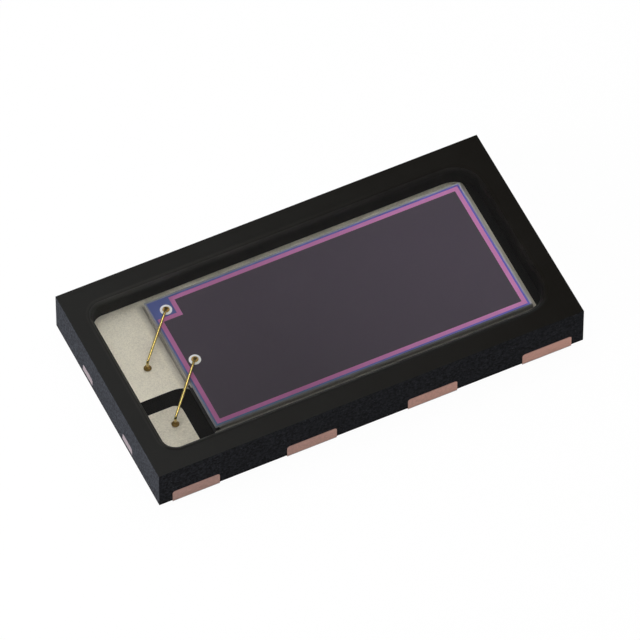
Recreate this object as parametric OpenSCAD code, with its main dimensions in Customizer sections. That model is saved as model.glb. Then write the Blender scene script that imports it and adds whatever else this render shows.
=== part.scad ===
// Leadless surface-mount silicon photodiode, in millimetres.
// A chip sits on a copper lead frame in the cavity of a moulded frame, wire-bonded and sealed in clear resin.
// The origin is on the soldering plane under the middle of the body.
// +X runs along the body towards the chip's far end, +Y across it and +Z up to the window.

/* [Body] */
// Length of the body
body_l = 4.8; // [4.5:0.05:5.6]
// Width of the body
body_w = 2.5; // [2.4:0.05:3.2]
// Height from the solder lands to the rim
body_h = 0.525; // [0.46:0.005:0.8]
// Height of the body's underside above the soldering plane
stand_off = 0.025; // [0.015:0.005:0.05]

/* [Cavity] */
// Rim between the cavity wall and each end of the body
rim_end_w = 0.235; // [0.15:0.005:0.28]
// Rim between the cavity wall and each long side of the body
rim_side_w = 0.274; // [0.15:0.002:0.32]
// Radius of the cavity's near corners at the top of its walls
near_corner_r = 0.15; // [0.05:0.01:0.3]
// Radius of the cavity's far corners at the top of its walls
far_corner_r = 0.29; // [0.05:0.01:0.4]
// Lean of each wall, from the rim in to the floor
wall_lean = 0.01; // [0.005:0.005:0.04]
// Rounding of the rim's inner edge
rim_edge_r = 0.075; // [0.02:0.005:0.1]
// Depth of the resin's surface below the rim
resin_drop = 0.012; // [0:0.002:0.03]

/* [Lead frame] */
// Thickness of the copper
copper_t = 0.16; // [0.12:0.005:0.2]
// Depth etched away from below, everywhere but at the lands
etch_depth = 0.06; // [0.03:0.005:0.1]
// Distance from each end of the body to the nearest lead
lead_end_gap = 0.135; // [0.08:0.005:0.3]
// Place of the inner leads, as a share of the outer leads' distance from the middle
inner_lead_share = 0.344; // [0.32:0.001:0.36]
// Width of a cathode lead
lead_w = 0.56; // [0.3:0.01:0.65]
// Width of the anode lead
anode_lead_w = 0.53; // [0.3:0.01:0.65]
// Rounding of a lead's upper edges
lead_edge_r = 0.035; // [0.01:0.005:0.05]
// Length of a solder land, in from the body's side
land_l = 0.45; // [0.35:0.01:0.6]
// Width of a tie bar
tie_w = 0.23; // [0.1:0.01:0.3]
// Distance of the tie bars from the body's centre line
tie_offset = 0.48; // [0.4:0.01:0.6]
// Reach of the copper under the cavity walls
wall_lap = 0.03; // [0.02:0.005:0.06]
// Thickness of the tin on the solder lands
tin_t = 0.01; // [0.005:0.001:0.015]
// Thickness of the silver inside the cavity
silver_t = 0.005; // [0.003:0.001:0.01]

/* [Paddle and island] */
// Floor left bare between the paddle's far end and the cavity wall
paddle_end_gap = 0.091; // [0.03:0.001:0.15]
// Radius of the paddle's far corners
paddle_corner_r = 0.15; // [0.05:0.01:0.2]
// Length of the flag between the cavity wall and the chip
flag_l = 0.571; // [0.45:0.001:0.8]
// Distance that the paddle's near edge is tucked under the chip
paddle_tuck = 0.063; // [0.03:0.001:0.15]
// Distance of the flag's front edge from the body's centre line
flag_front = 0.196; // [0.1:0.002:0.28]
// Radius of the inside corner between the flag and the paddle
flag_fillet_r = 0.23; // [0.05:0.01:0.24]
// Gap between the flag and the anode island
flag_gap = 0.183; // [0.1:0.001:0.22]
// Gap between the paddle and the anode island
paddle_gap = 0.242; // [0.15:0.001:0.3]
// Radius of the island's inner corner
island_corner_r = 0.09; // [0.03:0.01:0.15]

/* [Chip] */
// Gap between each side of the chip and the foot of the cavity wall
die_side_gap = 0.1; // [0.04:0.005:0.2]
// Thickness of the chip
die_t = 0.12; // [0.08:0.01:0.15]
// Distance from the paddle's far end to the chip
die_end_gap = 0.054; // [0.03:0.001:0.1]
// Thickness of the adhesive under the chip
attach_t = 0.015; // [0.005:0.001:0.03]
// Reach of the adhesive past the chip's edges
attach_bleed = 0.01; // [0.002:0.002:0.02]
// Width of the bare sawing street at the chip's edge
street_w = 0.02; // [0.01:0.002:0.04]
// Width of the blue film outside the guard ring
edge_film_w = 0.02; // [0.01:0.001:0.04]
// Width of the guard ring
ring_w = 0.048; // [0.03:0.001:0.08]
// Length of the blue square in the chip's corner
square_l = 0.238; // [0.2:0.001:0.3]
// Width of the blue square in the chip's corner
square_w = 0.23; // [0.2:0.001:0.3]
// Thickness of the films on the chip
film_t = 0.002; // [0.001:0.001:0.005]

/* [Bonds] */
// Diameter of a bond pad
bond_pad_d = 0.127; // [0.1:0.001:0.14]
// Thickness of a bond pad
bond_pad_t = 0.003; // [0.001:0.001:0.006]
// Distance of both bond pads from the chip's near end
bond_pad_from_end = 0.173; // [0.165:0.001:0.19]
// Distance of the corner bond pad from the chip's back side
bond_pad_from_side = 0.171; // [0.1:0.001:0.18]
// Diameter of the gold wire
wire_d = 0.027; // [0.018:0.001:0.035]
// Diameter of a ball bond on the lead frame
ball_d = 0.082; // [0.06:0.002:0.1]
// Height of a ball bond on the lead frame
ball_h = 0.02; // [0.012:0.001:0.03]
// Diameter of a stud bump on the chip
bump_d = 0.076; // [0.06:0.002:0.09]
// Height of a stud bump on the chip
bump_h = 0.018; // [0.012:0.001:0.03]
// Height of the cone that the bonding tool leaves on a ball
cone_h = 0.012; // [0.006:0.001:0.02]
// Ledge round the wire at the top of that cone
cone_ledge = 0.002; // [0.001:0.001:0.005]
// Radius of the wire's bend above its ball
bend_r = 0.035; // [0.02:0.005:0.06]
// Rise of the bend above the stitch at the wire's other end
loop_rise = 0.02; // [0.005:0.005:0.06]
// Depth that the stitch is pressed into its bump
stitch_sink = 0.008; // [0.004:0.001:0.012]
// Length of wire past the middle of its bump
stitch_past = 0.022; // [0.01:0.002:0.03]
// Slope of the bonding tool's cut through the stitch
stitch_cut = 30; // [20:5:45]
// Distance of the cathode ball from the flag's front edge
cathode_ball_back = 0.356; // [0.2:0.001:0.6]
// Distance of the anode ball from the island's back edge
anode_ball_front = 0.215; // [0.15:0.005:0.4]
// Distance of the anode ball from the island's inner edge
anode_ball_in = 0.145; // [0.1:0.005:0.2]

/* [Hidden] */
$fn = 48;
// Length that a cut runs past the face it opens
past = 0.1;

// Heights above the soldering plane
copper_z = tin_t;
etch_z = copper_z + etch_depth;
floor_z = copper_z + copper_t;
silver_z = floor_z + silver_t;
die_z = silver_z + attach_t;
film_z = die_z + die_t;
bond_pad_z = film_z + film_t;
bump_z = bond_pad_z + bond_pad_t;
resin_z = body_h - resin_drop;

// The cavity, at the top of its walls and at its floor
opening_l = body_l - 2 * rim_end_w;
opening_w = body_w - 2 * rim_side_w;
floor_x = opening_l / 2 - wall_lean;
floor_y = opening_w / 2 - wall_lean;
near_foot_r = near_corner_r - wall_lean;
far_foot_r = far_corner_r - wall_lean;

// Middles of the roundings at the cavity's near and far corners
near_x = opening_l / 2 - near_corner_r;
near_y = opening_w / 2 - near_corner_r;
far_x = opening_l / 2 - far_corner_r;
far_y = opening_w / 2 - far_corner_r;

// Edges of the paddle, the flag, the island and the chip
copper_x = floor_x + wall_lap;
copper_y = floor_y + wall_lap;
paddle_right = floor_x - paddle_end_gap;
die_right = paddle_right - die_end_gap;
die_left = flag_l - floor_x;
die_w = 2 * (floor_y - die_side_gap);
paddle_left = die_left + paddle_tuck;
island_right = paddle_left - paddle_gap;
island_back = -flag_front - flag_gap;

// Places of the bonds
bond_pad_x = die_left + bond_pad_from_end;
cathode_pad = [bond_pad_x, die_w / 2 - bond_pad_from_side];
anode_pad = [bond_pad_x, 0];
cathode_ball = [(die_left - floor_x) / 2, cathode_ball_back - flag_front];
anode_ball = [island_right - anode_ball_in, island_back - anode_ball_front];

// Heights along a wire, and how finely it is swept
wire_r = wire_d / 2;
stitch_z = bump_z + bump_h + wire_r - stitch_sink;
loop_z = stitch_z + loop_rise;
wire_sides = 16;
bend_steps = 6;

// Places of the leads along each long side
outer_lead_x = body_l / 2 - lead_end_gap - lead_w / 2;
lead_x = outer_lead_x * [-1, -inner_lead_share, inner_lead_share, 1];

// Which lead of the front row carries the island, and all the others as [index, side]
anode_index = 0;
front = -1;
back = 1;
paddle_leads = [
    for (side = [front, back])
        for (i = [0 : len(lead_x) - 1])
            if (side == back || i != anode_index) [i, side]
];

// Wall of the cavity in section, outwards from the middle of a corner's rounding
module wall_profile(corner_r, top_z) {
    wall_top = body_h - rim_edge_r;
    edge_x = corner_r + rim_edge_r;
    intersection() {
        difference() {
            polygon([
                [0, floor_z],
                [corner_r - wall_lean, floor_z],
                [corner_r, wall_top],
                [edge_x, wall_top],
                [edge_x, body_h + past],
                [0, body_h + past]
            ]);
            translate([edge_x, wall_top])
                circle(rim_edge_r);
        }
        square([edge_x, top_z]);
    }
}

// Cavity up to a given height: its wall section carried round the four corners and along the four sides
module cavity(top_z) {
    for (side = [front, back])
        mirror([0, side == front ? 1 : 0, 0]) {
            translate([-near_x, near_y, 0])
                rotate(90)
                    rotate_extrude(angle = 90)
                        wall_profile(near_corner_r, top_z);
            translate([far_x, far_y, 0])
                rotate_extrude(angle = 90)
                    wall_profile(far_corner_r, top_z);
            translate([-near_x, far_y, 0])
                rotate([90, 0, 90])
                    linear_extrude(near_x + far_x)
                        wall_profile(far_corner_r, top_z);
        }
    translate([-near_x, near_y, 0])
        mirror([1, 0, 0])
            rotate([90, 0, 0])
                linear_extrude(2 * near_y)
                    wall_profile(near_corner_r, top_z);
    translate([far_x, far_y, 0])
        rotate([90, 0, 0])
            linear_extrude(2 * far_y)
                wall_profile(far_corner_r, top_z);
    cavity_middle(far_x, near_y + near_foot_r / 2, top_z);
    cavity_middle(far_x + far_foot_r / 2, far_y + far_foot_r / 2, top_z);
}

// Block of the cavity from its near end out to x, that overlaps the walls and corners round it
module cavity_middle(x, y, top_z) {
    near_end = near_x + near_foot_r / 2;
    translate([-near_end, -y, floor_z])
        cube([near_end + x, 2 * y, top_z - floor_z]);
}

module rectangle(x0, y0, x1, y1) {
    translate([x0, y0])
        square([x1 - x0, y1 - y0]);
}

// Rectangle whose corners are cut to the radii [x0y0, x1y0, x0y1, x1y1]; a radius of 0 leaves one square
module rounded_rectangle(x0, y0, x1, y1, radii) {
    difference() {
        rectangle(x0, y0, x1, y1);
        for (i = [0 : 3])
            if (radii[i] > 0)
                translate([i % 2 == 0 ? x0 : x1, i < 2 ? y0 : y1])
                    corner_cut(radii[i], i % 2 == 0 ? 1 : -1, i < 2 ? 1 : -1);
    }
}

// What rounding takes off the corner at the origin of a shape that lies towards sx, sy
module corner_cut(r, sx, sy) {
    difference() {
        translate([sx > 0 ? -past : -r, sy > 0 ? -past : -r])
            square(r + past);
        translate([sx * r, sy * r])
            circle(r);
    }
}

// Floor of the cavity in plan
module floor_outline() {
    rounded_rectangle(-floor_x, -floor_y, floor_x, floor_y,
        [near_foot_r, far_foot_r, near_foot_r, far_foot_r]);
}

// Paddle in plan: the plate under the chip, the flag beside it and the fillet between them
module paddle_outline() {
    rounded_rectangle(paddle_left, -copper_y, paddle_right, copper_y, [0, paddle_corner_r, 0, paddle_corner_r]);
    rectangle(-copper_x, -flag_front, paddle_left, copper_y);
    translate([paddle_left, -flag_front])
        difference() {
            rectangle(-flag_fillet_r, -flag_fillet_r, 0, 0);
            translate([-flag_fillet_r, -flag_fillet_r])
                circle(flag_fillet_r);
        }
}

module island_outline() {
    rounded_rectangle(-copper_x, -copper_y, island_right, island_back, [0, 0, 0, island_corner_r]);
}

// Bar of copper that runs out in +Y from y0 to y1, with its upper edges rounded
module copper_bar(w, z0, y0, y1) {
    translate([0, y1, 0])
        rotate([90, 0, 0])
            linear_extrude(y1 - y0)
                rounded_rectangle(-w / 2, z0, w / 2, floor_z, [0, 0, lead_edge_r, lead_edge_r]);
}

// Lead with its full-thickness land; extra lengthens its outer end
module lead(i, side, w, extra) {
    translate([lead_x[i], 0, 0])
        mirror([0, side == front ? 1 : 0, 0]) {
            copper_bar(w, copper_z, copper_y - wall_lap / 2, body_w / 2 + extra);
            translate([-w / 2, body_w / 2 - land_l, copper_z])
                cube([w, land_l, etch_depth]);
        }
}

// Tie bar to the body's near end; extra lengthens its outer end
module tie_bar(y, extra) {
    translate([0, y, 0])
        rotate(90)
            copper_bar(tie_w, etch_z, copper_x - wall_lap / 2, body_l / 2 + extra);
}

module paddle_copper(extra) {
    translate([0, 0, etch_z])
        linear_extrude(floor_z - etch_z)
            paddle_outline();
    for (place = paddle_leads)
        lead(place[0], place[1], lead_w, extra);
    tie_bar(tie_offset, extra);
}

module anode_copper(extra) {
    translate([0, 0, etch_z])
        linear_extrude(floor_z - etch_z)
            island_outline();
    lead(anode_index, front, anode_lead_w, extra);
    tie_bar(-tie_offset, extra);
}

// Tin under one lead
module land(i, side, w) {
    translate([lead_x[i], 0, 0])
        mirror([0, side == front ? 1 : 0, 0])
            translate([-w / 2, body_w / 2 - land_l, 0])
                cube([w, land_l, tin_t]);
}

// Gold ball flattened by the bonding tool, with the cone that the tool leaves on top
module flattened_ball(d, h) {
    rotate_extrude() {
        square([(d - h) / 2, h]);
        intersection() {
            translate([(d - h) / 2, h / 2])
                circle(h / 2);
            square([d, h]);
        }
        polygon([[0, h], [(d - h) / 2, h], [wire_r + cone_ledge, h + cone_h], [0, h + cone_h]]);
    }
}

// Low stud bump: a flattened ball that is levelled for the stitch
module stud_bump() {
    rotate_extrude() {
        square([(bump_d - bump_h) / 2, bump_h]);
        intersection() {
            translate([(bump_d - bump_h) / 2, bump_h / 2])
                circle(bump_h / 2);
            square([bump_d, bump_h]);
        }
    }
}

// Axis of a wire in the plane of its two bonds, as [along, up]: out of its ball, over the bend, down to the stitch
function wire_axis(span) =
    let (
        centre = [bend_r, loop_z - bend_r],
        reach = [span, stitch_z] - centre,
        bend_end = atan2(reach[1], reach[0]) + acos(bend_r / norm(reach)),
        step = (180 - bend_end) / bend_steps
    )
    [
        [0, silver_z + ball_h / 2],
        for (i = [0 : bend_steps]) centre + bend_r * [cos(180 - i * step), sin(180 - i * step)],
        [span, stitch_z] + stitch_past * [sin(bend_end), -cos(bend_end)]
    ];

// Round tube swept along an axis that lies in the XZ plane
module tube(axis, r, sides) {
    last = len(axis) - 1;
    points = [
        for (i = [0 : last])
            let (chord = axis[min(i + 1, last)] - axis[max(i - 1, 0)], t = chord / norm(chord))
                for (k = [0 : sides - 1])
                    let (a = 360 * k / sides)
                        [axis[i][0] - t[1] * r * cos(a), r * sin(a), axis[i][1] + t[0] * r * cos(a)]
    ];
    walls = [
        for (i = [0 : last - 1])
            for (k = [0 : sides - 1])
                let (p = i * sides + k, q = i * sides + (k + 1) % sides)
                    each [[p, q, q + sides], [p, q + sides, p + sides]]
    ];
    near_cap = [for (k = [sides - 1 : -1 : 0]) k];
    far_cap = [for (k = [0 : sides - 1]) last * sides + k];
    polyhedron(points, concat([near_cap, far_cap], walls));
}

// Wire that stands on its ball, bends over and runs down to a stitch on the bump
module bond_wire(ball, pad) {
    span = norm(pad - ball);
    translate(ball)
        rotate(atan2(pad[1] - ball[1], pad[0] - ball[0]))
            difference() {
                union() {
                    translate([0, 0, silver_z])
                        flattened_ball(ball_d, ball_h);
                    tube(wire_axis(span), wire_r, wire_sides);
                }
                translate([span, 0, bump_z])
                    stud_bump();
                translate([span, -wire_d, stitch_z + wire_r])
                    rotate([0, stitch_cut, 0])
                        cube(2 * wire_d);
            }
}

// A plan of the chip's face, inset from its edge
module die_outline(inset) {
    rectangle(die_left + inset, -die_w / 2 + inset, die_right - inset, die_w / 2 - inset);
}

// The chip's face inset from its edge, less its back corner with the blue square grown by a margin
module stepped_outline(inset, margin) {
    difference() {
        die_outline(inset);
        translate([die_left - past, die_w / 2 + past])
            mirror([0, 1, 0])
                square([past + street_w + square_l + margin, past + street_w + square_w + margin]);
    }
}

module film(height) {
    translate([0, 0, film_z])
        linear_extrude(height)
            children();
}

module bond_pad(place) {
    translate([place[0], place[1], bond_pad_z])
        cylinder(h = bond_pad_t, d = bond_pad_d);
}

module mould_frame() {
    color("#1c1c1b")
        difference() {
            translate([-body_l / 2, -body_w / 2, stand_off])
                cube([body_l, body_w, body_h - stand_off]);
            cavity(body_h + past);
            paddle_copper(past);
            anode_copper(past);
        }
}

module clear_resin() {
    color("#dfe6e8", 0.25)
        difference() {
            cavity(resin_z);
            paddle_plating();
            anode_plating();
            die_attach();
            silicon_die();
            edge_oxide();
            guard_ring();
            active_window();
            cathode_bond_pad();
            anode_bond_pad();
            cathode_bump();
            anode_bump();
            cathode_wire();
            anode_wire();
        }
}

module die_paddle() {
    color("#b5806c")
        paddle_copper(0);
}

module anode_lead() {
    color("#b5806c")
        anode_copper(0);
}

module paddle_plating() {
    color("#c2beab")
        translate([0, 0, floor_z])
            linear_extrude(silver_t)
                intersection() {
                    paddle_outline();
                    floor_outline();
                }
}

module anode_plating() {
    color("#c2beab")
        translate([0, 0, floor_z])
            linear_extrude(silver_t)
                intersection() {
                    island_outline();
                    floor_outline();
                }
}

module paddle_lands() {
    color("#c9c9c6")
        for (place = paddle_leads)
            land(place[0], place[1], lead_w);
}

module anode_land() {
    color("#c9c9c6")
        land(anode_index, front, anode_lead_w);
}

module die_attach() {
    color("#8d8b84")
        translate([0, 0, silver_z])
            linear_extrude(attach_t)
                die_outline(-attach_bleed);
}

module silicon_die() {
    color("#77787c")
        translate([0, 0, die_z])
            linear_extrude(die_t)
                die_outline(0);
}

module edge_oxide() {
    color("#5a6497")
        film(film_t)
            difference() {
                die_outline(street_w);
                stepped_outline(street_w + edge_film_w, 0);
            }
}

module guard_ring() {
    color("#b06f9c")
        film(film_t)
            difference() {
                stepped_outline(street_w + edge_film_w, 0);
                stepped_outline(street_w + edge_film_w + ring_w, ring_w);
            }
}

module active_window() {
    color("#4a444c")
        film(film_t)
            stepped_outline(street_w + edge_film_w + ring_w, ring_w);
}

module cathode_bond_pad() {
    color("#e6e6e2")
        bond_pad(cathode_pad);
}

module anode_bond_pad() {
    color("#e6e6e2")
        bond_pad(anode_pad);
}

module cathode_bump() {
    color("#c89b45")
        translate([cathode_pad[0], cathode_pad[1], bump_z])
            stud_bump();
}

module anode_bump() {
    color("#c89b45")
        translate([anode_pad[0], anode_pad[1], bump_z])
            stud_bump();
}

module cathode_wire() {
    color("#d8b45a")
        bond_wire(cathode_ball, cathode_pad);
}

module anode_wire() {
    color("#d8b45a")
        bond_wire(anode_ball, anode_pad);
}

mould_frame();
clear_resin();
die_paddle();
anode_lead();
paddle_plating();
anode_plating();
paddle_lands();
anode_land();
die_attach();
silicon_die();
edge_oxide();
guard_ring();
active_window();
cathode_bond_pad();
anode_bond_pad();
cathode_bump();
anode_bump();
cathode_wire();
anode_wire();
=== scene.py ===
"""Looks of a leadless photodiode: its materials, its resin, its bond wires, and the studio round it."""
import math

import bmesh
import bpy
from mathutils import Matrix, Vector

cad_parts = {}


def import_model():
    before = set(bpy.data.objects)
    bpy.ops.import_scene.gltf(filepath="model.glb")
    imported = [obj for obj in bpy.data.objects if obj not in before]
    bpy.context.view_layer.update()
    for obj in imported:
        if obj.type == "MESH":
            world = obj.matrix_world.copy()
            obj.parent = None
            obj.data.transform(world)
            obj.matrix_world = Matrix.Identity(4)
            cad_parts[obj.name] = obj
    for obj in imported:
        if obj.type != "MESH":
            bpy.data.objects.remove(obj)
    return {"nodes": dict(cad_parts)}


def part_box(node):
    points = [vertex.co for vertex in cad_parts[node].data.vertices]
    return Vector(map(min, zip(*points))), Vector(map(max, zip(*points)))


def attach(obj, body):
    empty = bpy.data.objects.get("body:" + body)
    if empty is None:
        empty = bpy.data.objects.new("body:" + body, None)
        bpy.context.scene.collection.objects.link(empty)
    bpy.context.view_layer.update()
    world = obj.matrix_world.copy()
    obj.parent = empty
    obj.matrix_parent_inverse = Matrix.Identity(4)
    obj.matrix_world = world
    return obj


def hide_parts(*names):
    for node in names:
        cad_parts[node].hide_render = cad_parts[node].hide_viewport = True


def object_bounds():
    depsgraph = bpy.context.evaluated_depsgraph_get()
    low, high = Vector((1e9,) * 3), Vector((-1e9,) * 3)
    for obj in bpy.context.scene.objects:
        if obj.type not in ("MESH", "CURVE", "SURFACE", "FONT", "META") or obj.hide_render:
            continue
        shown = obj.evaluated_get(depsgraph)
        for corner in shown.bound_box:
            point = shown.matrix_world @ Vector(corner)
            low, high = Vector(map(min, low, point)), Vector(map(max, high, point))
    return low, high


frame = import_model()
nodes = frame["nodes"]
cad_low, cad_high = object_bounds()

MM = 0.001

# Camera, as solved from the body's outline in the photograph
PHOTO_PX = 640
CAMERA_AZIMUTH = -25.56
CAMERA_ELEVATION = 54.13
CAMERA_DISTANCE = 106 * MM
PX_PER_MM = 97.55
CENTRE_PX = (319.6, 318.85)
SENSOR_MM = 36

# Cavity and resin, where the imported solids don't say
RIM_EDGE_R = 0.075 * MM
WALL_LEAN = 0.01 * MM
NEAR_CORNER_R = 0.15 * MM
FAR_CORNER_R = 0.29 * MM
RESIN_LAP = 0.002 * MM
RESIN_IOR = 1.5
CORNER_STEPS = 16
EDGE_STEPS = 6

# Where the looks change, in millimetres
FACE_TOL = 0.001
CAVITY_FLOOR_LAP = 0.01
# Painted light on the mould falls off along x over this span
FALLOFF_X = (-1.6, 3.2)
FRONT_FADE = (0.03, 0.1)
SHOULDER_FADE = (-0.02, 0.03)
FOOT_FADE = (0.005, 0.04)
# Painted shade on the silver: where the flag darkens towards the chip, and how far the shade round the chip
# reaches
FLAG_SHADE_X = (-2.1, -1.6)
CHIP_SHADE_W = 0.09
# How far the darker bands reach up from the copper's foot and down from its top
DARK_FOOT_H = 0.014
DARK_TOP_H = 0.016
FLAG_PAST_ISLAND = 0.16
COPPER_DRIFT_X = (0.7, 4.9)
# Painted sheen on the chip's films and street rises over these spans
SHEEN_X = (-0.6, 2.0)
SHEEN_Y = (-0.8, 0.5)

# Bonds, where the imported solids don't say
WIRE_R = 0.0145 * MM
BALL_R = 0.041 * MM
BALL_H = 0.02 * MM
CONE_H = 0.012 * MM
CONE_LEDGE = 0.002 * MM
BUMP_H = 0.018 * MM
BEND_R = 0.035 * MM
STITCH_SINK = 0.008 * MM
STITCH_PAST = 0.022 * MM
STITCH_L = 0.05 * MM
STITCH_SPREAD = 1.55
STITCH_PRESS = 0.4
ROUND_SIDES = 40
ROUND_STEPS = 10
WIRE_SIDES = 24
BEND_STEPS = 14
RUN_STEPS = 8
STITCH_STEPS = 6

# White floor
FLOOR_HALF = 120 * MM
FLOOR_EDGE = 12 * MM
FLOOR_DROP = 0.002 * MM
FLOOR_WHITE = 0.97


# Mesh helpers

def add_object(name, mesh):
    piece = bpy.data.objects.new(name, mesh)
    bpy.context.scene.collection.objects.link(piece)
    return piece


def mesh_object(name, shape, smooth_angle=35):
    """A new mesh object from (verts, faces), smooth where its faces meet at less than an angle."""
    mesh = bpy.data.meshes.new(name)
    mesh.from_pydata([tuple(v) for v in shape[0]], [], shape[1])
    bm = bmesh.new()
    bm.from_mesh(mesh)
    bmesh.ops.recalc_face_normals(bm, faces=bm.faces)
    for face in bm.faces:
        face.smooth = True
    for edge in bm.edges:
        if edge.calc_face_angle(0) > math.radians(smooth_angle):
            edge.smooth = False
    bm.to_mesh(mesh)
    bm.free()
    return add_object(name, mesh)


def skin(rings):
    """Verts and faces of a solid through rings of equally many points, capped at both ends."""
    count = len(rings[0])
    verts = [point for ring in rings for point in ring]
    faces = [list(range(count)), [(len(rings) - 1) * count + k for k in range(count)]]
    for i in range(len(rings) - 1):
        for k in range(count):
            a, b = i * count + k, i * count + (k + 1) % count
            faces.append([a, b, b + count, a + count])
    return verts, faces


def joined(*shapes):
    """Verts and faces of several solids in one."""
    verts, faces = [], []
    for more_verts, more_faces in shapes:
        start = len(verts)
        verts += more_verts
        faces += [[start + i for i in face] for face in more_faces]
    return verts, faces


def arc(centre, radius, start, end, steps):
    """Points along an arc, angles in degrees."""
    turns = [math.radians(start + (end - start) * i / steps) for i in range(steps + 1)]
    return [(centre[0] + radius * math.cos(t), centre[1] + radius * math.sin(t)) for t in turns]


def lathe(profile, at):
    """A solid turned about a vertical axis from a profile of (radius, height) points."""
    turns = [2 * math.pi * k / ROUND_SIDES for k in range(ROUND_SIDES)]
    return skin([[at + Vector((r * math.cos(t), r * math.sin(t), z)) for t in turns] for r, z in profile])


# Node helpers

class Material:
    """A node material round one Principled shader, with coordinates in millimetres."""

    def __init__(self, name, **values):
        self.material = bpy.data.materials.new(name)
        self.material.use_nodes = True
        self.tree = self.material.node_tree
        self.shader = self.tree.nodes["Principled BSDF"]
        for socket, value in values.items():
            self.shader.inputs[socket.replace("_", " ")].default_value = value
        place = self.tree.nodes.new("ShaderNodeTexCoord")
        self.normal = place.outputs["Normal"]
        self.mm = self.vector("SCALE", place.outputs["Object"])
        self.mm.node.inputs["Scale"].default_value = 1 / MM

    def feed(self, socket, source):
        """Links a socket to a node's output, or sets it to a value."""
        if isinstance(source, bpy.types.NodeSocket):
            self.tree.links.new(source, socket)
        elif isinstance(source, tuple) and socket.type == "RGBA":
            socket.default_value = (*source, 1)
        else:
            socket.default_value = source

    def put(self, socket, source):
        self.feed(self.shader.inputs[socket], source)

    def vector(self, operation, *sources):
        node = self.tree.nodes.new("ShaderNodeVectorMath")
        node.operation = operation
        for socket, source in zip(node.inputs, sources):
            self.feed(socket, source)
        return node.outputs[0]

    def math(self, operation, *sources):
        node = self.tree.nodes.new("ShaderNodeMath")
        node.operation = operation
        for socket, source in zip(node.inputs, sources):
            self.feed(socket, source)
        return node.outputs[0]

    def axes(self, vector):
        node = self.tree.nodes.new("ShaderNodeSeparateXYZ")
        self.feed(node.inputs[0], vector)
        return node.outputs

    def noise(self, per_mm, detail=3.0, stretch=(1, 1, 1)):
        node = self.tree.nodes.new("ShaderNodeTexNoise")
        self.feed(node.inputs["Vector"], self.vector("MULTIPLY", self.mm, stretch))
        node.inputs["Scale"].default_value = per_mm
        node.inputs["Detail"].default_value = detail
        return node.outputs["Fac"]

    def ramp(self, source, low, high, start=0.3, end=0.7):
        """A colour or number that runs from low to high while the source runs from start to end."""
        node = self.tree.nodes.new("ShaderNodeMapRange")
        node.inputs["From Min"].default_value = start
        node.inputs["From Max"].default_value = end
        self.feed(node.inputs["Value"], source)
        if not isinstance(low, float):
            return self.mix(node.outputs["Result"], low, high)
        node.inputs["To Min"].default_value = low
        node.inputs["To Max"].default_value = high
        return node.outputs["Result"]

    def mix(self, factor, a, b):
        """Between two colours, or two sources of colour."""
        node = self.tree.nodes.new("ShaderNodeMix")
        node.data_type = "RGBA"
        self.feed(node.inputs["Factor"], factor)
        sockets = [socket for socket in node.inputs if socket.type == "RGBA"]
        self.feed(sockets[0], a)
        self.feed(sockets[1], b)
        return next(socket for socket in node.outputs if socket.type == "RGBA")

    def bump(self, height, depth_mm):
        node = self.tree.nodes.new("ShaderNodeBump")
        node.inputs["Distance"].default_value = depth_mm * MM
        self.feed(node.inputs["Height"], height)
        self.put("Normal", node.outputs["Normal"])


def dress(material, *names):
    """Gives CAD nodes a material in place of the one they were packed with."""
    for name in names:
        slots = nodes[name].data.materials
        slots.clear()
        slots.append(material)


# Materials

def cavity_colour(m, drift):
    """Colour of the mould in the cavity, with painted light: a painted highlight on the near and front
    shoulders, walls and brim painted lighter towards the near end, black at the far end.
    """
    _, y, z = m.axes(m.mm)
    low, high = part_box("clear_resin")
    # Painted light: the wetted walls are painted lighter towards the near end
    wall = m.ramp(drift, (0.03, 0.03, 0.028), (0.0055, 0.0042, 0.003), *FALLOFF_X)
    upright = m.math("LESS_THAN", m.math("ABSOLUTE", m.axes(m.normal)[2]), 0.5)
    below = m.mix(upright, (0.009, 0.0085, 0.0078), wall)
    fade = [low.y / MM + past for past in FRONT_FADE]
    # Painted highlight on the rounded shoulder, strongest at the near end and pale along the front
    shoulder_highlight = m.ramp(drift, (0.06, 0.06, 0.055), (0.01, 0.0085, 0.007), *FALLOFF_X)
    shoulder_highlight = m.ramp(y, (0.055, 0.055, 0.051), shoulder_highlight, *fade)
    # Painted light: the dry brim above the resin is lighter towards the near end, with one set grey along
    # the front
    brim_falloff = m.ramp(drift, (0.027, 0.0265, 0.025), (0.0074, 0.0066, 0.0054), *FALLOFF_X)
    brim_falloff = m.ramp(y, (0.012, 0.0118, 0.0113), brim_falloff, *fade)
    wall_top = (cad_high.z - RIM_EDGE_R) / MM
    wetted = m.ramp(z, below, shoulder_highlight, *[wall_top + past for past in SHOULDER_FADE])
    return m.mix(m.math("GREATER_THAN", z, high.z / MM), wetted, brim_falloff)


def sawn_colour(m):
    """Colour of the sawn sides: grains of filler, painted paler on the left end where the light falls, over
    a dark foot line.
    """
    x, _, z = m.axes(m.mm)
    filler = m.noise(42, detail=8.0)
    side = m.ramp(filler, (0.0035, 0.0039, 0.005), (0.0165, 0.0175, 0.0215), 0.38, 0.68)
    # Painted light: the left end is painted paler than the other sawn sides
    end = m.ramp(filler, (0.0055, 0.0065, 0.009), (0.0305, 0.033, 0.0415), 0.39, 0.64)
    cut = m.mix(m.math("LESS_THAN", x, cad_low.x / MM + FACE_TOL), side, end)
    speck = m.ramp(m.noise(60), 0.0, 0.8, 0.65, 0.7)
    cut = m.mix(speck, cut, (0.06, 0.064, 0.075))
    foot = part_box("mould_frame")[0].z / MM
    return m.ramp(z, (0.003, 0.003, 0.0035), cut, *[foot + past for past in FOOT_FADE])


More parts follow.
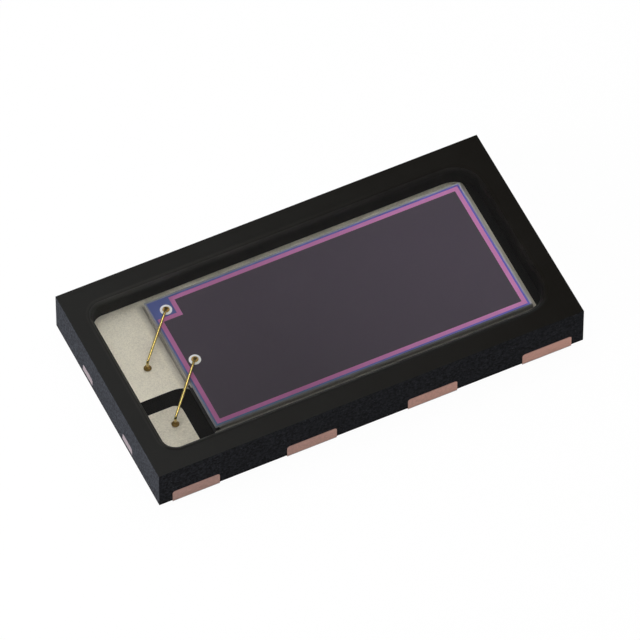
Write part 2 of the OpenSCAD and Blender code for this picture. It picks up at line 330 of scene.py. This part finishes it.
def mould_compound():
    """Black epoxy: matt where it was moulded, speckled where it was sawn, with painted light: lighter
    towards its left end, and a painted highlight and painted light round the cavity.
    """
    m = Material("mould_compound")
    x, y, z = m.axes(m.mm)
    sawn_end = m.math("GREATER_THAN", m.math("ABSOLUTE", x), cad_high.x / MM - FACE_TOL)
    sawn_side = m.math("GREATER_THAN", m.math("ABSOLUTE", y), cad_high.y / MM - FACE_TOL)
    sawn = m.math("MAXIMUM", sawn_end, sawn_side)
    under_rim = m.math("LESS_THAN", z, cad_high.z / MM - FACE_TOL / 2)
    over_floor = m.math("GREATER_THAN", z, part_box("clear_resin")[0].z / MM - CAVITY_FLOOR_LAP)
    cavity = m.math("MULTIPLY", under_rim, over_floor)
    # Painted light: the moulded top, and the cavity's walls, shoulders and brim, are painted lighter
    # towards the left end and darker towards the right
    drift = m.math("ADD", x, m.math("MULTIPLY", m.noise(3.0), 1.5))
    moulded = m.ramp(drift, (0.0168, 0.0168, 0.016), (0.0078, 0.007, 0.0058), *FALLOFF_X)
    uncut = m.mix(cavity, moulded, cavity_colour(m, drift))
    m.put("Base Color", m.mix(sawn, uncut, sawn_colour(m)))
    dulled = m.math("ADD", m.math("MAXIMUM", sawn, cavity), m.math("MULTIPLY", sawn, 0.5))
    m.put("Specular IOR Level", m.ramp(dulled, 0.08, 0.02, 0.0, 1.5))
    m.put("Roughness", m.ramp(m.noise(60), 0.48, 0.6))
    m.bump(m.noise(90, detail=4.0), 0.0015)
    return m.material


def clear_epoxy():
    m = Material("clear_epoxy", Base_Color=(1, 1, 1, 1), Roughness=0.0, IOR=RESIN_IOR,
                 Transmission_Weight=1.0)
    m.bump(m.noise(1.2, detail=1.0), 0.0004)
    return m.material


def silver_plate():
    """Matt silver, with painted shade: brightest at the flag's outer edge, darker round the chip, and dark
    in the strip before it.
    """
    m = Material("silver_plate", Metallic=0.6)
    grain = m.noise(65, detail=4.0)
    low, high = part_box("silicon_die")
    x, y, _ = m.axes(m.mm)
    island_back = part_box("anode_plating")[1].y / MM
    beside_chip = m.math("GREATER_THAN", x, low.x / MM)
    # Random tone plus painted shade: the flag is painted darker towards the chip and past the chip's left
    # edge; the island is darker too
    dull = m.math("ADD", m.ramp(x, 0.0, 0.2, *FLAG_SHADE_X), m.ramp(m.noise(6), 0.0, 0.05))
    dull = m.math("ADD", dull, m.math("MULTIPLY", m.math("LESS_THAN", y, island_back), 0.18))
    dull = m.math("ADD", dull, m.math("MULTIPLY", beside_chip, 0.08))
    tone = m.math("SUBTRACT", m.math("MULTIPLY", grain, 0.45), dull)
    silver_tone = m.ramp(tone, (0.6, 0.56, 0.455), (1.0, 0.945, 0.79), -0.19, 0.21)
    past_x = m.math("MAXIMUM", m.math("SUBTRACT", low.x / MM, x), m.math("SUBTRACT", x, high.x / MM))
    past_y = m.math("MULTIPLY", m.math("SUBTRACT", y, high.y / MM), 1.6)
    # Painted shade round the chip's foot, behind it and beside it
    chip_shade = m.ramp(m.math("MAXIMUM", past_x, past_y), (0.36, 0.33, 0.28), silver_tone, 0.0, CHIP_SHADE_W)
    before_chip = m.math("LESS_THAN", y, low.y / MM)
    shaded_front_strip = m.math("MULTIPLY", before_chip, beside_chip)
    # Painted shade: the silver strip in front of the chip, in the trench by the front wall, is painted dark
    m.put("Base Color", m.mix(shaded_front_strip, chip_shade, (0.135, 0.127, 0.112)))
    m.put("Roughness", m.ramp(m.noise(35), 0.5, 0.6))
    m.bump(grain, 0.001)
    return m.material


def sawn_copper():
    """Sawn copper, redder towards the far end, darker along its top and bottom edges, and with greyer
    tie-bar ends.
    """
    m = Material("sawn_copper", Metallic=0.1, Specular_IOR_Level=0.2)
    streak = m.noise(14, stretch=(1, 1, 6))
    x, _, z = m.axes(m.mm)
    drift = m.math("ADD", x, m.math("MULTIPLY", m.noise(45, detail=4.0), 6.0))
    fresh = m.ramp(drift, (0.425, 0.255, 0.212), (0.68, 0.368, 0.292), *COPPER_DRIFT_X)
    low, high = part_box("die_paddle")
    # Darker along the copper's top and bottom edges
    dark_edges = m.math("MAXIMUM", m.ramp(z, 0.7, 0.0, low.z / MM, low.z / MM + DARK_FOOT_H),
                  m.ramp(z, 0.0, 0.7, high.z / MM - DARK_TOP_H, high.z / MM))
    fresh = m.mix(dark_edges, fresh, (0.2, 0.09, 0.07))
    at_end = m.math("LESS_THAN", x, cad_low.x / MM + FACE_TOL)
    m.put("Base Color", m.mix(at_end, fresh, (0.217, 0.177, 0.194)))
    m.put("Roughness", m.ramp(m.noise(50), 0.45, 0.6))
    m.bump(streak, 0.002)
    return m.material


def matt_tin():
    m = Material("matt_tin", Metallic=0.9)
    grain = m.noise(40, detail=4.0)
    m.put("Base Color", m.ramp(grain, (0.56, 0.56, 0.55), (0.68, 0.68, 0.66)))
    m.put("Roughness", m.ramp(grain, 0.38, 0.52))
    m.bump(grain, 0.002)
    return m.material


def silver_adhesive():
    """Silver-filled epoxy with a painted reflection: pale along the flag and the chip's front where silver
    lies round it, dark where it hangs over the mould.
    """
    m = Material("silver_adhesive", Roughness=0.6, Metallic=0.3)
    y = m.axes(m.mm)[1]
    flag_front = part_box("anode_plating")[1].y / MM + FLAG_PAST_ISLAND
    before_chip = m.math("LESS_THAN", y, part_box("silicon_die")[0].y / MM)
    over_silver = m.math("MAXIMUM", before_chip, m.math("GREATER_THAN", y, flag_front))
    grain = m.noise(80)
    # Painted reflection: the same adhesive is painted dark over the mould and pale over the silver
    painted_dark_adhesive = m.ramp(grain, (0.015, 0.015, 0.014), (0.03, 0.029, 0.027))
    painted_pale_adhesive = m.ramp(grain, (0.3, 0.285, 0.25), (0.42, 0.4, 0.35))
    m.put("Base Color", m.mix(over_silver, painted_dark_adhesive, painted_pale_adhesive))
    m.bump(m.noise(60), 0.002)
    return m.material


def painted_sheen(m):
    """How strong the painted sheen on the chip's films and street is: 0 at the chip's near front corner, 1
    at its far end.
    """
    x, y, _ = m.axes(m.mm)
    along = m.ramp(x, 0.0, 1.0, *SHEEN_X)
    across = m.ramp(y, 0.0, 0.3, *SHEEN_Y)
    return m.math("SUBTRACT", m.math("ADD", along, across), m.math("MULTIPLY", along, across))


def sawn_silicon():
    """Silicon: a matt sawing street on top, and sawn sides that mirror what lies round them."""
    m = Material("sawn_silicon", Metallic=1.0)
    facing_up = m.math("GREATER_THAN", m.axes(m.normal)[2], 0.5)
    chip = m.noise(120, detail=4.0)
    # Painted sheen: the street lightens from the chip's near front corner to its far end
    street = m.mix(painted_sheen(m), (0.16, 0.165, 0.175), (0.38, 0.38, 0.405))
    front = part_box("edge_oxide")[0].y / MM
    # Painted shade: the street along the chip's front edge is painted darker
    street = m.mix(m.math("LESS_THAN", m.axes(m.mm)[1], front), street, (0.105, 0.109, 0.112))
    side = m.ramp(m.noise(30, stretch=(1, 1, 8)), (0.84, 0.82, 0.78), (0.95, 0.93, 0.89))
    m.put("Base Color", m.mix(facing_up, side, street))
    m.put("Roughness", m.ramp(facing_up, 0.1, 0.5, 0.0, 1.0))
    m.bump(chip, 0.0008)
    return m.material


def interference_film(name, near, far):
    """A thin film on polished silicon, whose colour a painted sheen lightens from the near front corner to
    the far end.
    """
    m = Material(name, Specular_IOR_Level=0.15)
    m.put("Base Color", m.mix(painted_sheen(m), near, far))
    m.put("Roughness", m.ramp(m.noise(8), 0.3, 0.36))
    return m.material


def bond_aluminium():
    m = Material("bond_aluminium", Metallic=0.35)
    grain = m.noise(150)
    m.put("Base Color", m.ramp(grain, (0.88, 0.88, 0.86), (0.95, 0.95, 0.93)))
    m.put("Roughness", m.ramp(grain, 0.35, 0.5))
    return m.material


def wire_gold():
    """Gold: bright where it was drawn to wire, dull and browner in the balls on the lead frame."""
    m = Material("wire_gold", Metallic=1.0)
    ball_top = (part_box("cathode_wire")[0].z + BALL_H + CONE_H) / MM
    in_ball = m.math("LESS_THAN", m.axes(m.mm)[2], ball_top)
    wire = m.ramp(m.noise(10, detail=1.0), (0.86, 0.66, 0.22), (0.93, 0.73, 0.26))
    m.put("Base Color", m.mix(in_ball, wire, (0.42, 0.27, 0.08)))
    m.put("Roughness", m.ramp(in_ball, 0.24, 0.6, 0.0, 1.0))
    return m.material


def bump_gold():
    """Gold squeezed by the bonding tool, dull and brown."""
    m = Material("bump_gold", Metallic=0.8)
    pressed = m.noise(60)
    m.put("Base Color", m.ramp(pressed, (0.4, 0.25, 0.06), (0.62, 0.41, 0.12)))
    m.put("Roughness", m.ramp(pressed, 0.45, 0.55))
    return m.material


# Pieces

def add_piece(name, shape, material, slot, *replaced):
    piece = mesh_object(name, shape)
    piece.data.materials.append(material)
    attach(piece, "root")
    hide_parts(*replaced)


def cavity_ring(half_l, half_w, grow, z):
    """Points round the cavity at one height; grow is how far it has opened from the top of its walls."""
    ring = []
    for turn, (sx, sy, r) in enumerate(((1, 1, FAR_CORNER_R), (-1, 1, NEAR_CORNER_R),
                                        (-1, -1, NEAR_CORNER_R), (1, -1, FAR_CORNER_R))):
        centre = (sx * (half_l - r), sy * (half_w - r))
        corner = arc(centre, r + grow, 90 * turn, 90 * turn + 90, CORNER_STEPS)
        ring += [Vector((x, y, z)) for x, y in corner]
    return ring


def resin_fill():
    """The block of clear resin, its hidden faces let a little into the walls and floor that it wets."""
    low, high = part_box("clear_resin")
    wall_top = cad_high.z - RIM_EDGE_R
    rise = high.z - wall_top
    opened = RIM_EDGE_R - math.sqrt(RIM_EDGE_R ** 2 - rise ** 2)
    half_l, half_w = high.x - opened, high.y - opened
    rings = [cavity_ring(half_l, half_w, RESIN_LAP - WALL_LEAN, low.z - RESIN_LAP)]
    for i in range(EDGE_STEPS + 1):
        up = rise * i / EDGE_STEPS
        out = RIM_EDGE_R - math.sqrt(RIM_EDGE_R ** 2 - up ** 2)
        rings.append(cavity_ring(half_l, half_w, RESIN_LAP + out, wall_top + up))
    add_piece("resin_fill", skin(rings), clear_epoxy(), "clear_resin", "clear_resin")


def flattened_ball(at):
    """The ball that the bonding tool flattened on the lead frame, with the cone it left on top."""
    flat_r = BALL_R - BALL_H / 2
    profile = arc((flat_r, BALL_H / 2), BALL_H / 2, -90, 70, ROUND_STEPS)
    return lathe(profile + [(WIRE_R + CONE_LEDGE, BALL_H + CONE_H)], at)


def stud_bump(at, radius):
    flat_r = radius - BUMP_H / 2
    return lathe(arc((flat_r, BUMP_H / 2), BUMP_H / 2, -90, 90, ROUND_STEPS), at)


def wire_path(span, foot_z, loop_z, stitch_z):
    """Axis of a wire as (along, up) points: out of its ball, over the bend and down to the stitch."""
    centre = Vector((BEND_R, loop_z - BEND_R))
    reach = Vector((span, stitch_z)) - centre
    bend_end = math.degrees(math.atan2(reach.y, reach.x) + math.acos(BEND_R / reach.length))
    bend = [Vector(p) for p in arc(centre, BEND_R, 180, bend_end, BEND_STEPS)]
    slope = Vector((math.sin(math.radians(bend_end)), -math.cos(math.radians(bend_end))))
    end = Vector((span, stitch_z)) + slope * STITCH_PAST
    run = [bend[-1].lerp(end - slope * STITCH_L, i / RUN_STEPS) for i in range(1, RUN_STEPS + 1)]
    stitch = [end - slope * STITCH_L * (1 - i / STITCH_STEPS) for i in range(1, STITCH_STEPS + 1)]
    foot = Vector((0, foot_z))
    return [foot, bend[0].lerp(foot, 0.5)] + bend + run, stitch


def wire_tube(start, end, foot_z, loop_z, stitch_z):
    """A round wire that is pressed flat and wide where it is stitched."""
    ahead = Vector((end.x - start.x, end.y - start.y, 0))
    span = ahead.length
    ahead.normalize()
    aside = Vector((-ahead.y, ahead.x, 0))
    round_path, stitch = wire_path(span, foot_z, loop_z, stitch_z)
    path = round_path + stitch
    rings = []
    for i, point in enumerate(path):
        tangent = (path[min(i + 1, len(path) - 1)] - path[max(i - 1, 0)]).normalized()
        share = max(0, i - len(round_path) + 1) / len(stitch)
        wide = WIRE_R * (1 + (STITCH_SPREAD - 1) * share)
        tall = WIRE_R * (1 - (1 - STITCH_PRESS) * share)
        sink = WIRE_R - tall
        middle = Vector((start.x, start.y, 0)) + ahead * point.x + Vector((0, 0, point.y - sink))
        lift = Vector((0, 0, 1)) * tangent.x - ahead * tangent.y
        turns = [2 * math.pi * k / WIRE_SIDES for k in range(WIRE_SIDES)]
        rings.append([middle + aside * wide * math.cos(t) + lift * tall * math.sin(t) for t in turns])
    return skin(rings)


def bond(name, wire_material, bump_material):
    """The wire named so with its ball, and the bump under its stitch."""
    wire, bump, plate = f"{name}_wire", f"{name}_bump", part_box(f"{name}_bond_pad")
    low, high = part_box(wire)
    ball = Vector((low.x + BALL_R, low.y + BALL_R, low.z))
    bump_low, bump_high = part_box(bump)
    pad = (plate[0] + plate[1]) / 2
    stitch_z = bump_high.z + WIRE_R - STITCH_SINK
    tube = wire_tube(ball, pad, ball.z + BALL_H / 2, high.z - WIRE_R, stitch_z)
    add_piece(f"{wire}_drawn", joined(flattened_ball(ball), tube), wire_material, "gold", wire)
    foot = Vector((pad.x, pad.y, bump_low.z))
    add_piece(f"{bump}_drawn", stud_bump(foot, (bump_high.x - bump_low.x) / 2), bump_material, "gold", bump)


drawn, squeezed = wire_gold(), bump_gold()
resin_fill()
bond("cathode", drawn, squeezed)
bond("anode", drawn, squeezed)
dress(mould_compound(), "mould_frame")
dress(sawn_copper(), "die_paddle", "anode_lead")
dress(silver_plate(), "paddle_plating", "anode_plating")
dress(matt_tin(), "paddle_lands", "anode_land")
dress(silver_adhesive(), "die_attach")
dress(sawn_silicon(), "silicon_die")
dress(interference_film("edge_oxide_film", (0.066, 0.12, 0.22), (0.21, 0.195, 0.76)), "edge_oxide")
dress(interference_film("guard_ring_film", (0.42, 0.135, 0.3), (0.97, 0.37, 0.76)), "guard_ring")
dress(interference_film("window_film", (0.058, 0.047, 0.061), (0.114, 0.0915, 0.122)), "active_window")
dress(bond_aluminium(), "cathode_bond_pad", "anode_bond_pad")


# Studio

def towards(azimuth, elevation):
    """The direction of a view or a lamp from the part: azimuth 0 is its front, and -90 its left end."""
    a, e = math.radians(azimuth), math.radians(elevation)
    return Vector((math.sin(a) * math.cos(e), -math.cos(a) * math.cos(e), math.sin(e)))


def camera():
    back = towards(CAMERA_AZIMUTH, CAMERA_ELEVATION)
    turn = (-back).to_track_quat("-Z", "Y")
    right, up = turn @ Vector((1, 0, 0)), turn @ Vector((0, 1, 0))
    aside = (PHOTO_PX / 2 - CENTRE_PX[0]) / PX_PER_MM * MM
    above = (CENTRE_PX[1] - PHOTO_PX / 2) / PX_PER_MM * MM
    data = bpy.data.cameras.new("camera")
    data.sensor_width = SENSOR_MM
    data.lens = PX_PER_MM * CAMERA_DISTANCE / MM / PHOTO_PX * SENSOR_MM
    data.clip_start, data.clip_end = 1 * MM, 1.0
    shot = add_object("camera", data)
    shot.location = (cad_low + cad_high) / 2 + right * aside + up * above + back * CAMERA_DISTANCE
    shot.rotation_mode = "QUATERNION"
    shot.rotation_quaternion = turn
    bpy.context.scene.camera = shot


def softbox(name, azimuth, elevation, distance_mm, size_mm, watts):
    """A square soft lamp that faces the part, and that the resin's flat top doesn't mirror."""
    away = towards(azimuth, elevation)
    data = bpy.data.lights.new(name, "AREA")
    data.shape = "SQUARE"
    data.size = size_mm * MM
    data.energy = watts
    lamp = add_object(name, data)
    lamp.location = away * distance_mm * MM
    lamp.rotation_mode = "QUATERNION"
    lamp.rotation_quaternion = (-away).to_track_quat("-Z", "Y")
    lamp.visible_camera = False
    lamp.visible_glossy = False


def floor():
    """A white tray: white to the camera, in reflections and through resin, with the part's soft shadow."""
    corners = [(sx * FLOOR_HALF, sy * FLOOR_HALF) for sx, sy in ((-1, -1), (1, -1), (1, 1), (-1, 1))]
    verts = [(x, y, z) for z in (0, FLOOR_EDGE) for x, y in corners]
    sides = [(k, (k + 1) % 4, (k + 1) % 4 + 4, k + 4) for k in range(4)]
    mesh = bpy.data.meshes.new("floor")
    mesh.from_pydata(verts, [], [(0, 1, 2, 3)] + sides)
    piece = add_object("floor", mesh)
    piece.location.z = -FLOOR_DROP
    m = Material("floor", Roughness=0.9, Specular_IOR_Level=0.0)
    m.put("Base Color", m.ramp(m.noise(0.2), (0.84, 0.84, 0.85), (0.86, 0.86, 0.87)))
    glow = m.tree.nodes.new("ShaderNodeEmission")
    mix = m.tree.nodes.new("ShaderNodeMixShader")
    path = m.tree.nodes.new("ShaderNodeLightPath")
    seen = m.math("MAXIMUM", path.outputs["Is Glossy Ray"], path.outputs["Is Transmission Ray"])
    seen = m.math("MAXIMUM", seen, path.outputs["Is Camera Ray"])
    m.feed(mix.inputs[0], m.math("MULTIPLY", seen, FLOOR_WHITE))
    m.feed(mix.inputs[1], m.shader.outputs[0])
    m.feed(mix.inputs[2], glow.outputs[0])
    m.feed(m.tree.nodes["Material Output"].inputs["Surface"], mix.outputs[0])
    mesh.materials.append(m.material)


def world(level):
    """Dim even light from all round."""
    studio = bpy.data.worlds.new("studio")
    bpy.context.scene.world = studio
    studio.use_nodes = True
    sky = studio.node_tree.nodes["Background"]
    sky.inputs["Color"].default_value = (1, 1, 1, 1)
    sky.inputs["Strength"].default_value = level


camera()
floor()
world(0.137)
softbox("left_softbox", -90, 15, 20, 10, 0.0045)
softbox("top_softbox", 180, 76, 30, 14, 0.0029)
softbox("back_softbox", 178, 33, 40, 22, 0.0034)
softbox("right_softbox", 112, 40, 40, 24, 0.004)
softbox("front_softbox", -26, 65, 40, 20, 0.0034)
bpy.context.scene.view_settings.view_transform = "Standard"
